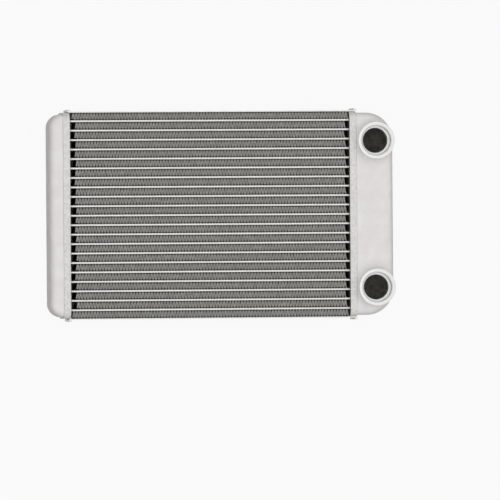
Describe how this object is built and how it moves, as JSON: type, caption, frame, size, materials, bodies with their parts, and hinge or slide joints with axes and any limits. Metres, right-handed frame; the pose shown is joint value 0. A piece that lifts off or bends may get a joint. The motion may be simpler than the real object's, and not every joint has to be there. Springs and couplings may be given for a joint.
{
  "type": "heater core",
  "caption": "Brazed aluminium heater core: flat tubes and folded fins between two end tanks, with two round flanged ports on one face.",
  "frame": {"origin": "middle of the whole part's length and width, on the plane of the header rims' back faces, which it lies on", "axes": "+X along the tubes from the return tank to the inlet and outlet tank, +Y across the tubes towards the inlet port, +Z with the air through the core and out of the ports"},
  "size_m": [0.2648, 0.1618, 0.0399],
  "materials": {
    "tank_sheet": "brazed matt sheet",
    "header_sheet": "brazed matt sheet, mottled by flux",
    "tube_sheet": "brazed matt sheet",
    "fin_foil": "louvred foil",
    "side_plate_sheet": "brazed matt sheet",
    "port_metal": "turned"
  },
  "bodies": {
    "root": {"baffle": "tank_sheet", "fin_01": "fin_foil", "fin_02": "fin_foil", "fin_03": "fin_foil", "fin_04": "fin_foil", "fin_05": "fin_foil", "fin_06": "fin_foil", "fin_07": "fin_foil", "fin_08": "fin_foil", "fin_09": "fin_foil", "fin_10": "fin_foil", "fin_11": "fin_foil", "fin_12": "fin_foil", "fin_13": "fin_foil", "fin_14": "fin_foil", "fin_15": "fin_foil", "fin_16": "fin_foil", "fin_17": "fin_foil", "fin_18": "fin_foil", "fin_19": "fin_foil", "fin_20": "fin_foil", "fin_21": "fin_foil", "fin_22": "fin_foil", "inlet_outlet_header": "header_sheet", "inlet_outlet_tank": "tank_sheet", "inlet_port": "port_metal", "lower_side_plate": "side_plate_sheet", "outlet_port": "port_metal", "return_header": "header_sheet", "return_tank": "tank_sheet", "tube_01": "tube_sheet", "tube_02": "tube_sheet", "tube_03": "tube_sheet", "tube_04": "tube_sheet", "tube_05": "tube_sheet", "tube_06": "tube_sheet", "tube_07": "tube_sheet", "tube_08": "tube_sheet", "tube_09": "tube_sheet", "tube_10": "tube_sheet", "tube_11": "tube_sheet", "tube_12": "tube_sheet", "tube_13": "tube_sheet", "tube_14": "tube_sheet", "tube_15": "tube_sheet", "tube_16": "tube_sheet", "tube_17": "tube_sheet", "tube_18": "tube_sheet", "tube_19": "tube_sheet", "tube_20": "tube_sheet", "tube_21": "tube_sheet", "upper_side_plate": "side_plate_sheet"}
  },
  "joints": []
}
